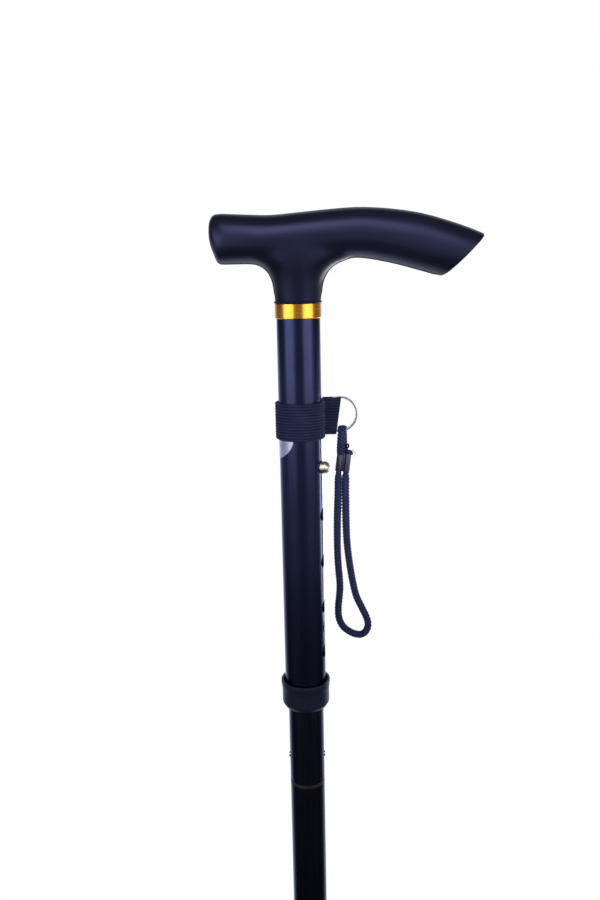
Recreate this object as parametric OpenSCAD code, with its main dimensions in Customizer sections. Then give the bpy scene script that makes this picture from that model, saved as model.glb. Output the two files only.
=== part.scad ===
// Folding cane with a T handle, a height adjuster, a wrist strap set and three cord-strung fold joints.
// Millimetres. The origin is the middle of the rubber tip's foot. +Z runs up the shaft and the handle's
// long end points to +X.

/* [Shaft] */
// Length of each lower section, from joint to joint
section_l = 175; // [150:1:200]
// Outside diameter of the inner and lower tubes
tube_d = 19; // [18:0.5:21]
// Wall of the inner and lower tubes
tube_wall = 1.2; // [1:0.1:1.6]
// Wall of the outer tube
outer_wall = 1.2; // [1:0.1:2]
// Radial gap between the inner tube and the outer tube
slide_gap = 0.3; // [0.2:0.05:0.5]
// Inner tube that shows below the lock collar
inner_show = 47.5; // [44:0.5:80]
// Outer tube that shows between the band and the gold collar
tube_show = 41.5; // [38:0.5:80]

/* [Height holes] */
// Number of height holes
hole_n = 5; // [3:1:6]
// Distance between the height holes
hole_pitch = 25.4; // [20:0.1:30]
// Lowest hole above the lock collar's rim
first_hole = 17; // [10:0.5:30]
// How far the holes and the button are turned to the front, in degrees
hole_turn = 14; // [0:1:20]
// Inner tube above the snap button
inner_above = 50; // [40:1:55]

/* [Snap button] */
// Button diameter
button_d = 6.4; // [5:0.1:7]
// Radial gap round the button in both tubes
button_gap = 0.25; // [0.15:0.05:0.5]
// How far the button stands out of the outer tube
button_out = 4.1; // [2:0.1:5]
// Width of the leaf spring
leaf_w = 7; // [5:0.5:8]
// Thickness of the leaf spring
leaf_t = 0.6; // [0.4:0.1:0.8]
// Length of the leaf spring below the button
leaf_l = 34; // [25:1:40]

/* [Lock collar] */
// Height of the lock collar
collar_h = 14.5; // [12:0.5:20]
// Wall of the lock collar
collar_wall = 0.95; // [0.8:0.05:2]
// Floor of the lock collar
collar_floor = 2.2; // [1.5:0.1:3]
// Radius of the lock collar's lower edge
collar_round = 2; // [1:0.1:2.4]
// Wall of the lock bush outside the tube
bush_wall = 1; // [0.8:0.1:2]
// Lip of the lock bush under the tube
bush_lip = 2; // [1:0.1:3]
// How far the lock bush stays below the collar's rim
bush_drop = 3; // [2:0.5:5]

/* [Handle] */
// Height from the neck's foot to the top of the grip
handle_h = 45.5; // [42:0.5:52]
// Thickness of the grip
grip_t = 27; // [24:0.5:28]
// Wall of the neck at its foot
neck_wall = 0.5; // [0.4:0.1:1.5]
// Depth of the tube in the handle
socket_l = 26; // [22:0.5:30]
// Length of the plug in the top of the tube
top_plug_l = 14; // [8:0.5:18]
// Diameter of the handle screw
screw_d = 5; // [4:0.5:6]
// Length of the screw in the handle
screw_grip = 9; // [6:0.5:10]

/* [Gold collar] */
// Height of the gold collar
ring_h = 7.5; // [5:0.5:12]
// Wall of the gold collar
ring_wall = 0.6; // [0.5:0.1:1.2]

/* [Strap] */
// Width of the elastic band
band_h = 19; // [16:0.5:25]
// Thickness of the elastic
band_t = 1.2; // [0.8:0.1:1.6]
// Number of ribs across the band
rib_n = 12; // [6:1:16]
// Height of the ribs
rib_h = 0.25; // [0.1:0.05:0.4]
// Band's lower edge above the button
band_gap = 16; // [12:0.5:25]
// How far the tab's top corner reaches from the shaft's axis
tab_reach = 21.5; // [20:0.5:23]
// How much shorter the tab's bottom corner is
tab_slant = 2.2; // [1.5:0.1:3]
// Outside diameter of the split ring
split_ring_d = 19.2; // [18.4:0.2:19.6]
// Wire diameter of the split ring
split_wire_d = 1.4; // [1:0.1:1.6]
// Diameter of the wrist cord
strap_d = 3.5; // [3:0.1:3.6]
// Length of the crimp on the wrist cord
crimp_l = 10; // [9:0.5:13]
// Diameter of the foil sticker
sticker_d = 19; // [14:0.5:20]
// Thickness of the foil sticker
sticker_t = 0.12; // [0.1:0.01:0.14]

/* [Fold joints] */
// Length of the plug's nose in the next tube
nose_l = 17; // [12:0.5:18]
// Length of the plug's shank in its own tube
shank_l = 28; // [20:0.5:34]
// Thickness of the plug's flange between two tubes
flange_h = 2; // [1.5:0.1:4]
// Distance from the shaft's axis to each fold axis
fold_r = 14.5; // [14.5:0.1:17]
// How far a section is drawn off its plug over half a turn
fold_pull = 40; // [34:1:41]
// Diameter of the elastic cord
cord_d = 4; // [3:0.5:5]
// Diameter of the plug rivets
rivet_d = 3; // [2:0.5:4]
// Diameter of the cord pins
pin_d = 3; // [2:0.5:4]
// Upper cord pin above the first joint
upper_pin_z = 95; // [80:1:100]
// Lower cord pin above the floor
lower_pin_z = 30; // [22:1:36]

/* [Rubber tip] */
// Height of the rubber tip
tip_h = 42; // [36:1:60]
// Diameter of the foot
foot_d = 30; // [28:0.5:32]
// Height of the foot's straight rim
foot_h = 9; // [6:0.5:12]
// Wall of the tip's sleeve
tip_wall = 2.6; // [2:0.1:3.5]
// Rubber under the washer
tip_floor = 7.5; // [5:0.5:10]
// Thickness of the washer
washer_t = 1.5; // [1:0.1:3]

/* [Hidden] */
$fn = 64;
cut = 1;
press = 0.05;
rest_gap = 0.3;
run_gap = 0.08;
band_slack = 0.23;

// Radii that follow the tubes
tube_r = tube_d / 2;
bore_r = tube_r - tube_wall;
outer_bore = tube_r + slide_gap;
outer_r = outer_bore + outer_wall;
cord_r = cord_d / 2;
cord_bore = cord_r + rest_gap;

// Heights, from the floor upwards
joint_z = [3 * section_l, 2 * section_l, section_l];
tube_foot = tip_floor + washer_t;
collar_z = joint_z[0] + inner_show;
rim_z = collar_z + collar_h;
bush_z = collar_z + collar_floor + rest_gap;
outer_z = bush_z + bush_lip;
hole_z = rim_z + first_hole;
button_z = hole_z + (hole_n - 1) * hole_pitch;
inner_top = button_z + inner_above;
band_z = button_z + band_gap;
ring_z = band_z + band_h + tube_show;
neck_z = ring_z + ring_h;
socket_top = neck_z + socket_l;
top_z = neck_z + handle_h;

// Radii round the outer tube
bush_r = outer_r + press + bush_wall;
collar_in = bush_r + rest_gap - press;
collar_r = collar_in + collar_wall;
band_in = outer_r + sticker_t + band_slack;
band_r = band_in + band_t;

// Stretch of cord that a fold draws out of the plug
link_l = fold_pull + flange_h;

// Flange of the plug that caps the outer tube inside the handle
top_flange = 1.5;

// Where the button's base disc lies at rest, from the shaft's axis
base_h = 0.8;
base_r = button_d / 2 + base_h;
base_x = sqrt(bore_r * bore_r - base_r * base_r) - base_h - run_gap;

// Inner end of the rivets
rivet_in = cord_bore + 1;

// Split ring between the two layers of the tab
split_r = (split_ring_d - split_wire_d) / 2;
ring_pocket = split_wire_d + 2 * rest_gap;
split_y = band_r + rib_h - band_t - ring_pocket / 2;
split_x = outer_r + split_r + split_wire_d / 2;
split_z = band_z + band_h / 2;

// Side outline of the grip: x, drop of the top, drop of the underside, how much thinner it is on each side
GRIP = [
    [-43, 9, 12, 10.8], [-42, 5, 17, 6.5], [-40.5, 2.3, 21, 4], [-37, 1.9, 25.2, 2],
    [-26, 2.4, 25.6, 0.7], [-13, 2.9, 25.6, 0.3], [2, 1.8, 25, 0], [17, 0.6, 24.3, 0],
    [31, 0, 24, 0], [46, 1, 26.6, 0], [61, 3.4, 30.7, -0.3], [75, 7.4, 35, -0.3],
    [86, 11.3, 38.5, 0], [97, 16, 42, 0.4]
];
// Neck: height above its foot, reach to the left, reach to the right, half thickness past the foot's radius
NECK = [
    [0, 0, 0, 0], [4.5, 0, 0.3, 0], [10, 0.8, 1.2, 0.3], [13.5, 2.2, 2.8, 0.7], [15.5, 3.4, 4.2, 1],
    [17.5, 5.4, 6, 1.3], [19, 8, 8.6, 1.5], [20.5, 12, 12.5, 1.6], [22.5, 15, 16, 1.7],
    [27, 15, 16, 1.7], [32, 14, 15, 1.5]
];
// The nose and the underside's corner of the grip's slanted end
END_TOP = [91.5, 15];
END_LOW = [71.5, 34];

// Wrist cord, from the cut end round the wrist loop and over the ring, from the ring's middle
STRAP_ROUTE = [
    [6, 0, -19.7], [4.7, 0, -21.8], [4.25, 0, -23.5], [3.15, 0, -31.5], [2.85, 0, -36], [2.75, 0, -43],
    [2.9, 0, -58], [3.3, 0, -70], [4.3, 0, -80], [5.8, 0, -90.5], [8, 0, -101], [11, 0, -108],
    [13.8, 0, -114.5], [14.5, 0, -119], [13, 0, -122.6], [10, 0, -124.2], [5.5, 0, -123], [1, 0, -119.5],
    [-1.4, 0, -114.5], [-1.8, 0, -108], [-1, 0, -100], [-0.8, 0, -94], [-1.5, 0, -84], [-1.9, 0, -74],
    [-1.75, 0, -58], [-1.15, 0, -43], [-0.95, 0, -36], [-0.8, 0, -31.5], [0.3, -0.2, -22.6],
    [0.35, -0.9, -19.8], [0.4, -2, -16.5], [0.6, -2.9, -13], [0.85, -3.2, -10], [1.15, -2.4, -7.2],
    [1.4, 0, -6], [1.75, 2.4, -7.2], [1.95, 3.2, -10], [2.1, 2.8, -17], [2.35, 2.55, -19.6],
    [2.5, 2.45, -20.7]
];
crimp_top = [2.4, 0, -21.3];
crimp_lean = 7.5;
crimp_pitch = 4.2;

// One point of a smooth curve through four neighbouring points
function blend_point(a, b, c, d, t) =
    b + t * (c - a) / 2 + t * t * (a - 2.5 * b + 2 * c - d / 2) + t * t * t * (1.5 * (b - c) + (d - a) / 2);

// Points of a smooth curve through a list, with so many steps from each point to the next
function smooth(pts, steps) = let (last = len(pts) - 1) [
    for (i = [0 : last - 1])
        for (k = [0 : steps - 1])
            blend_point(pts[max(i - 1, 0)], pts[i], pts[i + 1], pts[min(i + 2, last)], k / steps),
    pts[last]
];

// Closed skin over rings that all have the same number of points
module skin(rings) {
    sides = len(rings[0]);
    last = len(rings) - 1;
    walls = [
        for (i = [0 : last - 1])
            for (k = [0 : sides - 1])
                let (a = i * sides + k, b = i * sides + (k + 1) % sides)
                    each [[a, a + sides, b], [b, a + sides, b + sides]]
    ];
    first_cap = [for (k = [1 : sides - 2]) [0, k, k + 1]];
    last_cap = [for (k = [1 : sides - 2]) [last * sides, last * sides + k + 1, last * sides + k]];
    polyhedron(points = [for (r = rings) each r], faces = concat(walls, first_cap, last_cap));
}

// Ring of a cord: a circle square to the way it runs
function cord_ring(at, way, r, sides) =
    let (side = cross(way, abs(way.y) < 0.9 ? [0, 1, 0] : [1, 0, 0]))
    let (u = side / norm(side), v = cross(u, way / norm(way)))
    [for (k = [0 : sides - 1]) at + r * (u * cos(360 * k / sides) + v * sin(360 * k / sides))];

// Round cord along a list of points
module cord_along(pts, r, sides) {
    last = len(pts) - 1;
    skin([for (i = [0 : last]) cord_ring(pts[i], pts[min(i + 1, last)] - pts[max(i - 1, 0)], r, sides)]);
}

// Sine or cosine drawn out a little towards the corners of a square
function full(v) = sign(v) * pow(abs(v), 0.86);

// Rounded cross-section of the grip, across the shaft
function grip_ring(s, sides = 28) = let (mid = (s[1] + s[2]) / 2, half = (s[2] - s[1]) / 2) [
    for (k = [0 : sides - 1])
        let (a = 360 * k / sides)
            [s[0], (grip_t / 2 - s[3]) * full(cos(a)), top_z - mid + half * full(sin(a))]
];

// Oval cross-section of the neck
function neck_ring(s, sides = 32) = let (foot = outer_r + neck_wall) [
    for (k = [0 : sides - 1])
        let (a = 360 * k / sides, reach = foot + (cos(a) < 0 ? s[1] : s[2]))
            [reach * cos(a), (foot + s[3]) * sin(a), neck_z + s[0]]
];

module handle() {
    slope = atan2(END_TOP.x - END_LOW.x, END_LOW.y - END_TOP.y);
    block = 2 * handle_h;
    color("#1d1d22") difference() {
        union() {
            difference() {
                skin([for (s = smooth(GRIP, 3)) grip_ring(s)]);
                translate([END_LOW.x, 0, top_z - END_LOW.y]) rotate([0, slope, 0])
                    translate([0, -block / 2, -block]) cube([block, block, 2 * block]);
            }
            skin([for (s = smooth(NECK, 2)) neck_ring(s)]);
        }
        translate([0, 0, neck_z - cut])
            cylinder(r = outer_r + press, h = socket_l + top_flange + press + cut);
        translate([0, 0, socket_top]) cylinder(d = screw_d + 2 * press, h = top_flange + screw_grip + cut);
    }
}

module tube_plug() {
    length = top_plug_l + top_flange;
    foot = socket_top - top_plug_l;
    color("#2a2a2c") difference() {
        union() {
            translate([0, 0, foot]) cylinder(r = outer_bore - press, h = length);
            translate([0, 0, socket_top]) cylinder(r = outer_r, h = top_flange);
        }
        translate([0, 0, foot - cut]) cylinder(d = screw_d + 2 * press, h = length + 2 * cut);
    }
}

module handle_screw() {
    head_h = 0.6 * screw_d;
    head_d = 1.8 * screw_d;
    key_d = 0.6 * screw_d;
    foot = socket_top - top_plug_l;
    color("#b8b8bc") {
        translate([0, 0, foot]) cylinder(d = screw_d, h = top_plug_l + top_flange + screw_grip);
        difference() {
            translate([0, 0, foot - head_h]) cylinder(d = head_d, h = head_h);
            translate([0, 0, foot - head_h - cut]) cylinder(d = key_d, h = cut + head_h / 2, $fn = 6);
        }
    }
}

module gold_collar() {
    chamfer = ring_wall / 2;
    inside = outer_r + press;
    color("#d9a520") translate([0, 0, ring_z]) rotate_extrude() polygon([
        [inside, 0], [inside + ring_wall - chamfer, 0], [inside + ring_wall, chamfer],
        [inside + ring_wall, ring_h - chamfer], [inside + ring_wall - chamfer, ring_h], [inside, ring_h]
    ]);
}

// Straight tube between two heights
module pipe(low, high, r, wall) {
    translate([0, 0, low]) difference() {
        cylinder(r = r, h = high - low);
        translate([0, 0, -cut]) cylinder(r = r - wall, h = high - low + 2 * cut);
    }
}

module outer_tube() {
    color("#17171b") difference() {
        pipe(outer_z, socket_top, outer_r, outer_wall);
        for (i = [0 : hole_n - 1])
            translate([0, 0, hole_z + i * hole_pitch]) rotate([0, 90, -hole_turn])
                cylinder(d = button_d + 2 * button_gap, h = outer_r + cut);
    }
}

module foil_sticker() {
    // The sticker faces a little forward of the left side, half under the band
    turn = 190;
    drop = 1;
    color("#c9c9d2") intersection() {
        pipe(band_z - sticker_d, band_z + sticker_d, outer_r + sticker_t, sticker_t);
        translate([0, 0, band_z - drop]) rotate([0, 90, turn]) cylinder(d = sticker_d, h = outer_r + cut);
    }
}

module lock_bush() {
    color("#2c2c30") difference() {
        translate([0, 0, bush_z]) cylinder(r = bush_r, h = rim_z - bush_drop - bush_z);
        translate([0, 0, bush_z - cut]) cylinder(r = tube_r + run_gap, h = bush_lip + 2 * cut);
        translate([0, 0, outer_z]) cylinder(r = outer_r + press, h = collar_h);
    }
}

module lock_collar() {
    steps = 6;
    color("#1b1b1e") translate([0, 0, collar_z]) rotate_extrude() polygon(concat(
        [[tube_r + rest_gap, 0]],
        [for (i = [0 : steps]) [
            collar_r - collar_round * (1 - sin(90 * i / steps)), collar_round * (1 - cos(90 * i / steps))
        ]],
        [[collar_r, collar_h], [collar_in, collar_h], [collar_in, collar_floor]],
        [[tube_r + rest_gap, collar_floor]]
    ));
}

// One layer of the band's tab, with a slanted end
module tab_layer(y, start) {
    translate([0, y + band_t, band_z]) rotate([90, 0, 0]) linear_extrude(band_t)
        polygon([[start, 0], [tab_reach - tab_slant, 0], [tab_reach, band_h], [start, band_h]]);
}

module elastic_band() {
    rib = band_h / rib_n;
    front_y = split_y - ring_pocket / 2 - band_t;
    seam_x = split_x - 0.73 * split_r;
    seam_w = split_r / 2;
    color("#202024") difference() {
        union() {
            translate([0, 0, band_z]) rotate_extrude() polygon(concat(
                [[band_in, 0]],
                [for (i = [0 : rib_n - 1]) each [[band_r, i * rib], [band_r + rib_h, (i + 0.5) * rib]]],
                [[band_r, band_h], [band_in, band_h]]
            ));
            tab_layer(split_y + ring_pocket / 2, 0);
            tab_layer(front_y, band_in / 2);
            translate([seam_x, front_y, split_z - split_r / 2])
                cube([seam_w, ring_pocket + 2 * band_t, split_r]);
        }
        translate([0, 0, band_z - cut]) cylinder(r = band_in, h = band_h + 2 * cut);
    }
}

module split_ring() {
    color("#c4c6ca") translate([split_x, split_y, split_z]) rotate([90, 0, 0]) rotate_extrude()
        translate([split_r, 0]) circle(d = split_wire_d);
}

module wrist_cord() {
    route = [for (p = smooth(STRAP_ROUTE, 2)) p + [split_x, split_y, split_z]];
    color("#1a1a1d") cord_along(route, strap_d / 2, 8);
}

module cord_crimp() {
    wall = 0.75;
    squeeze = 0.4;
    lobe_r = strap_d / 2 + wall;
    color("#8e9096") translate([split_x, split_y, split_z] + crimp_top) rotate([0, crimp_lean, 0])
        translate([0, 0, -crimp_l]) difference() {
            union() {
                for (s = [-1, 1]) translate([s * crimp_pitch / 2, 0, 0]) cylinder(r = lobe_r, h = crimp_l);
                translate([-crimp_pitch / 2, -lobe_r / 2, 0]) cube([crimp_pitch, lobe_r, crimp_l]);
            }
            for (s = [-1, 1]) translate([s * crimp_pitch / 2, 0, -cut])
                cylinder(d = strap_d - squeeze, h = crimp_l + 2 * cut);
        }
}

// Tube that stands on its own joint plug
module joint_tube(n, high) {
    difference() {
        pipe(joint_z[n] + flange_h, high, tube_r, tube_wall);
        rivet_holes(n);
    }
}

function rivet_z(n) = joint_z[n] + flange_h + shank_l / 2;

module rivet_holes(n) {
    translate([0, 0, rivet_z(n)]) for (s = [0, 180]) rotate([0, 90, s])
        translate([0, 0, rivet_in]) cylinder(d = rivet_d, h = tube_r);
}

module inner_tube() {
    color("#17171b") difference() {
        joint_tube(0, inner_top);
        translate([0, 0, button_z]) rotate([0, 90, -hole_turn])
            cylinder(d = button_d + 2 * button_gap, h = tube_r + cut);
        cord_pin_hole(joint_z[0] + upper_pin_z);
    }
}

module guide_bush() {
    flange = 2;
    shank = 10;
    wall = 1.5;
    color("#d8d8d2") difference() {
        union() {
            translate([0, 0, inner_top - shank]) cylinder(r = bore_r - press, h = shank);
            translate([0, 0, inner_top]) cylinder(r = outer_bore - run_gap, h = flange);
        }
        translate([0, 0, inner_top - shank - cut]) cylinder(r = bore_r - wall, h = shank + flange + 2 * cut);
    }
}

module snap_button() {
    steps = 6;
    button_r = button_d / 2;
    dome_h = 0.75 * button_r;
    length = outer_r + button_out - base_x;
    color("#b9a05a") rotate([0, 0, -hole_turn]) translate([base_x, 0, button_z]) rotate([0, 90, 0])
        rotate_extrude() polygon(concat(
            [[0, 0], [base_r, 0], [base_r, base_h], [button_r, base_h]],
            [for (i = [0 : steps - 1]) let (a = 90 * i / steps)
                [button_r * cos(a), length - dome_h * (1 - sin(a))]],
            [[0, length]]
        ));
}

// Strip of even thickness along a list of points in a plane
function ribbon(pts, t) = let (last = len(pts) - 1)
    let (normals = [
        for (i = [0 : last]) let (w = pts[min(i + 1, last)] - pts[max(i - 1, 0)]) [-w.y, w.x] / norm(w)
    ])
    concat(
        [for (i = [0 : last]) pts[i] + normals[i] * t / 2],
        [for (i = [last : -1 : 0]) pts[i] - normals[i] * t / 2]
    );

module button_spring() {
    bend = 2;
    touch = 0.02;
    right = base_x - leaf_t / 2 - touch;
    left = press + leaf_t / 2 - sqrt(bore_r * bore_r - leaf_w * leaf_w / 4);
    path = concat(
        [[right, base_r + base_h], [right, -base_r]],
        [for (a = [0 : -30 : -180]) [bend * cos(a), bend * sin(a) - leaf_l + bend]],
        [[left, -button_d], [left, button_d]]
    );
    color("#a9abb0") rotate([0, 0, -hole_turn]) translate([0, leaf_w / 2, button_z]) rotate([90, 0, 0])
        linear_extrude(leaf_w) polygon(ribbon(path, leaf_t));
}

module cord_pin_hole(z) {
    translate([0, tube_r + cut, z]) rotate([90, 0, 0]) cylinder(d = pin_d + 2 * press, h = tube_d + 2 * cut);
}

module cord_pin(z) {
    length = tube_d - 2 * rest_gap;
    color("#a4a6aa") translate([0, length / 2, z]) rotate([90, 0, 0]) cylinder(d = pin_d, h = length);
}

module upper_cord_pin() {
    cord_pin(joint_z[0] + upper_pin_z);
}

module lower_cord_pin() {
    cord_pin(lower_pin_z);
}

// Run of elastic cord between two heights
module cord_run(low, high) {
    translate([0, 0, low]) cylinder(r = cord_r, h = high - low);
}

// Knot of the elastic cord round a pin
module cord_knot(z) {
    wrap = 1;
    translate([0, 0, z]) sphere(r = cord_r + pin_d / 2 + wrap);
}

module inner_cord() {
    pin_z = joint_z[0] + upper_pin_z;
    color("#3b3b40") difference() {
        union() {
            cord_run(joint_z[0] + link_l + press, pin_z);
            cord_knot(pin_z);
        }
        cord_pin_hole(pin_z);
    }
}

module elastic_cord_4() {
    color("#3b3b40") difference() {
        union() {
            cord_run(lower_pin_z, joint_z[2] - nose_l - rest_gap);
            cord_knot(lower_pin_z);
        }
        cord_pin_hole(lower_pin_z);
    }
}

// Elastic cord inside the section below a joint
module section_cord(n) {
    color("#3b3b40") cord_run(joint_z[n + 1] + link_l + press, joint_z[n] - nose_l - rest_gap);
}

// Stretch of cord in a plug, drawn out when its joint folds
module cord_link(n) {
    color("#3b3b40") cord_run(joint_z[n], joint_z[n] + link_l);
}

// Plug of a fold joint: its nose tapers so that it swings clear of the next tube's mouth
module joint_plug(n) {
    steps = 8;
    nose_r = bore_r - rest_gap;
    taper = 1.75 * (2 * fold_pull / PI + fold_r + nose_r);
    color("#4a4a50") difference() {
        translate([0, 0, joint_z[n]]) rotate_extrude() polygon(concat(
            [for (i = [steps : -1 : 0]) let (h = nose_l * i / steps) [nose_r - h * h / taper, -h]],
            [
                [tube_r, 0], [tube_r, flange_h], [bore_r - press, flange_h],
                [bore_r - press, flange_h + shank_l], [cord_bore, flange_h + shank_l], [cord_bore, -nose_l]
            ]
        ));
        rivet_holes(n);
    }
}

// Two rivets that hold a plug in its tube
module plug_rivets(n) {
    head = 0.5;
    start = rivet_in + rest_gap;
    color("#b4b6ba") translate([0, 0, rivet_z(n)]) for (s = [0, 180]) rotate([0, 90, s])
        translate([0, 0, start]) cylinder(d = rivet_d - 2 * press, h = tube_r + head - start);
}

module joint_plug_1() { joint_plug(0); }
module joint_plug_2() { joint_plug(1); }
module joint_plug_3() { joint_plug(2); }
module plug_rivets_1() { plug_rivets(0); }
module plug_rivets_2() { plug_rivets(1); }
module plug_rivets_3() { plug_rivets(2); }
module cord_link_1() { cord_link(0); }
module cord_link_2() { cord_link(1); }
module cord_link_3() { cord_link(2); }
module elastic_cord_2() { section_cord(0); }
module elastic_cord_3() { section_cord(1); }

module tube_2() {
    color("#17171b") joint_tube(1, joint_z[0]);
}

module tube_3() {
    color("#17171b") joint_tube(2, joint_z[1]);
}

module tube_4() {
    color("#17171b") difference() {
        pipe(tube_foot, joint_z[2], tube_r, tube_wall);
        cord_pin_hole(lower_pin_z);
    }
}

module tip_washer() {
    color("#9fa1a6") translate([0, 0, tip_floor]) cylinder(r = tube_r, h = washer_t);
}

module rubber_tip() {
    foot_r = foot_d / 2;
    inside = tube_r + press;
    sleeve_r = inside + tip_wall;
    edge = 1;
    bead = 0.8;
    bead_z = tip_h - 7;
    groove = 1.2;
    color("#161616") difference() {
        rotate_extrude() polygon([
            [0, 0], [foot_r - edge, 0], [foot_r, edge], [foot_r, foot_h], [sleeve_r, foot_h + 8 * edge],
            [sleeve_r, bead_z - edge], [sleeve_r + bead, bead_z], [sleeve_r + bead, tip_h - edge],
            [sleeve_r, tip_h], [inside, tip_h], [inside, tip_floor], [0, tip_floor]
        ]);
        for (r = [0.4 * foot_r, 0.67 * foot_r]) translate([0, 0, -cut]) difference() {
            cylinder(r = r + groove, h = groove + cut);
            translate([0, 0, -cut]) cylinder(r = r, h = groove + 3 * cut);
        }
    }
}

handle();
handle_screw();
tube_plug();
gold_collar();
outer_tube();
foil_sticker();
lock_bush();
lock_collar();
elastic_band();
split_ring();
wrist_cord();
cord_crimp();
inner_tube();
guide_bush();
snap_button();
button_spring();
upper_cord_pin();
inner_cord();
joint_plug_1();
plug_rivets_1();
cord_link_1();
tube_2();
joint_plug_2();
plug_rivets_2();
elastic_cord_2();
cord_link_2();
tube_3();
joint_plug_3();
plug_rivets_3();
elastic_cord_3();
cord_link_3();
tube_4();
elastic_cord_4();
lower_cord_pin();
tip_washer();
rubber_tip();
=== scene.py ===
import math

import bmesh
import bpy
import numpy as np
from mathutils import Matrix, Vector


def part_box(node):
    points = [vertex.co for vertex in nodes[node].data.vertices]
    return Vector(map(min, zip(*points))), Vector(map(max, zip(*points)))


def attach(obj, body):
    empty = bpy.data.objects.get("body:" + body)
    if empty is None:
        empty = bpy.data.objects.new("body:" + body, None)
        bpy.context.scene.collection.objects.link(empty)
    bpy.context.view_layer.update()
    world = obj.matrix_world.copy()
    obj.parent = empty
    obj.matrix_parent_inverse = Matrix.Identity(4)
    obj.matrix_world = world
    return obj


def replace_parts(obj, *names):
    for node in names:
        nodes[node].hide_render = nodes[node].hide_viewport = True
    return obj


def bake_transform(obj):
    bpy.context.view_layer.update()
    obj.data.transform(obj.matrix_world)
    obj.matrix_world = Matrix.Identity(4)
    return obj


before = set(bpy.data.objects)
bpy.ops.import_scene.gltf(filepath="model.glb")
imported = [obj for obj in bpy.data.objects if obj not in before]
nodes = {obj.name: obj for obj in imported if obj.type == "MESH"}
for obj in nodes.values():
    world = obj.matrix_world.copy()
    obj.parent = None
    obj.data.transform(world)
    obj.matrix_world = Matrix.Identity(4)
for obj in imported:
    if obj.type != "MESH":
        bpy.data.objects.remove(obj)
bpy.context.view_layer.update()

scene = bpy.context.scene
MM = 0.001

# Side outline of the grip in mm: x, drop of the top, drop of the underside, thinner on each side by
GRIP = [
    (-43, 9, 12.5, 10.8), (-42.6, 6, 16, 7.6), (-41.8, 4, 19, 5.4), (-40.6, 2.5, 22, 4),
    (-39.3, 2.1, 24.6, 3), (-38.4, 2, 25.9, 2.6), (-36, 1.9, 26, 1.8),
    (-26, 2.4, 26, 0.7), (-13, 2.9, 26, 0.3), (2, 1.8, 25, 0), (17, 0.6, 24.3, 0),
    (31, 0, 24, 0), (46, 1, 26.6, 0), (61, 3.4, 30.7, -0.3), (75, 7.4, 35, -0.3),
    (86, 11.3, 38.5, 0), (97, 16, 42, 0.4),
]
GRIP_THICK = 27
# Neck in mm: height above its foot, reach to the left, reach to the right, reach to front and back
NECK = [
    (-5, 0, 0, 0), (0, 0, 0, 0), (4.5, 0, 0.3, 0), (10, 0.8, 1.2, 0.3), (13.5, 2.2, 2.8, 0.7),
    (15.5, 3.4, 4.2, 1), (17.5, 5.4, 6, 1.3), (19, 8, 8.6, 1.5), (20.5, 12, 12.5, 1.6),
    (22.5, 15, 16, 1.7), (27, 15, 16, 1.7), (32, 14, 15, 1.5),
]
NECK_R = 11.5
# Slanted end of the grip: x and drop of its top and of its foot
END_TOP = (91.5, 15)
END_LOW = (71.5, 34)
# Socket for the tube: radius and depth
SOCKET_R = 11.05
SOCKET_L = 27.55

# Wrist cord in mm from the ring's middle, from the cut end round the loop and over the ring
STRAP_ROUTE = [
    (6, 0, -19.7), (4.7, 0, -21.8), (4.25, 0, -23.5), (3.15, 0, -31.5), (2.85, 0, -36), (2.75, 0, -43),
    (2.9, 0, -58), (3.3, 0, -70), (4.3, 0, -80), (5.8, 0, -90.5), (8, 0, -101), (11, 0, -108),
    (13.8, 0, -114.5), (14.5, 0, -119), (13, 0, -122.6), (10, 0, -124.2), (5.5, 0, -123), (1, 0, -119.5),
    (-1.4, 0, -114.5), (-1.8, 0, -108), (-1, 0, -100), (-0.8, 0, -94), (-1.5, 0, -84), (-1.9, 0, -74),
    (-1.75, 0, -58), (-1.15, 0, -43), (-0.95, 0, -36), (-0.8, 0, -31.5), (0.3, -0.2, -22.6),
    (0.35, -0.9, -19.8), (0.4, -2, -16.5), (0.6, -2.9, -13), (0.85, -3.2, -10), (1.15, -2.4, -7.2),
    (1.4, 0, -6), (1.75, 2.4, -7.2), (1.95, 3.2, -10), (2.1, 2.8, -17), (2.35, 2.55, -19.6),
    (2.5, 2.45, -20.7),
]
# The last end is tucked between the crimp's lobes
STRAP_TUCK = (2.6, 2.3, -22.2)
# Radius of the braid at its highest strands
CREST_R = 2.15
# Crimp: the middle of its top from the ring's middle, its lean and its length
CRIMP_TOP = (2.4, 0, -21.3)
CRIMP_LEAN = math.radians(7.5)
CRIMP_L = 9.8
# The ring's wire where the cord hangs on it, from the ring's middle
WIRE = (1.4, 0, -8.8)
# Space between the rings of points along cords and the band
CORD_STEP = 0.2


# Shapes

def catmull(points, steps, closed=False):
    """Points of a smooth curve through a list."""
    p = np.array(points, float)
    n = len(p)
    spans = n if closed else n - 1

    def at(i):
        return p[i % n] if closed else p[min(max(i, 0), n - 1)]

    out = []
    for i in range(spans):
        a, b, c, d = at(i - 1), at(i), at(i + 1), at(i + 2)
        for k in range(steps):
            t = k / steps
            out.append(
                b + t * (c - a) / 2 + t * t * (a - 2.5 * b + 2 * c - d / 2)
                + t ** 3 * (1.5 * (b - c) + (d - a) / 2)
            )
    if not closed:
        out.append(p[-1])
    return np.array(out)


def runs(points):
    """How far along a line each of its points is."""
    return np.concatenate([[0], np.cumsum(np.linalg.norm(np.diff(points, axis=0), axis=1))])


def spaced(points, step):
    """The same line with points about step apart."""
    p = np.array(points, float)
    run = runs(p)
    count = max(2, int(round(run[-1] / step)) + 1)
    where = np.linspace(0, run[-1], count)
    return np.stack([np.interp(where, run, p[:, i]) for i in range(3)], axis=1)


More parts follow.
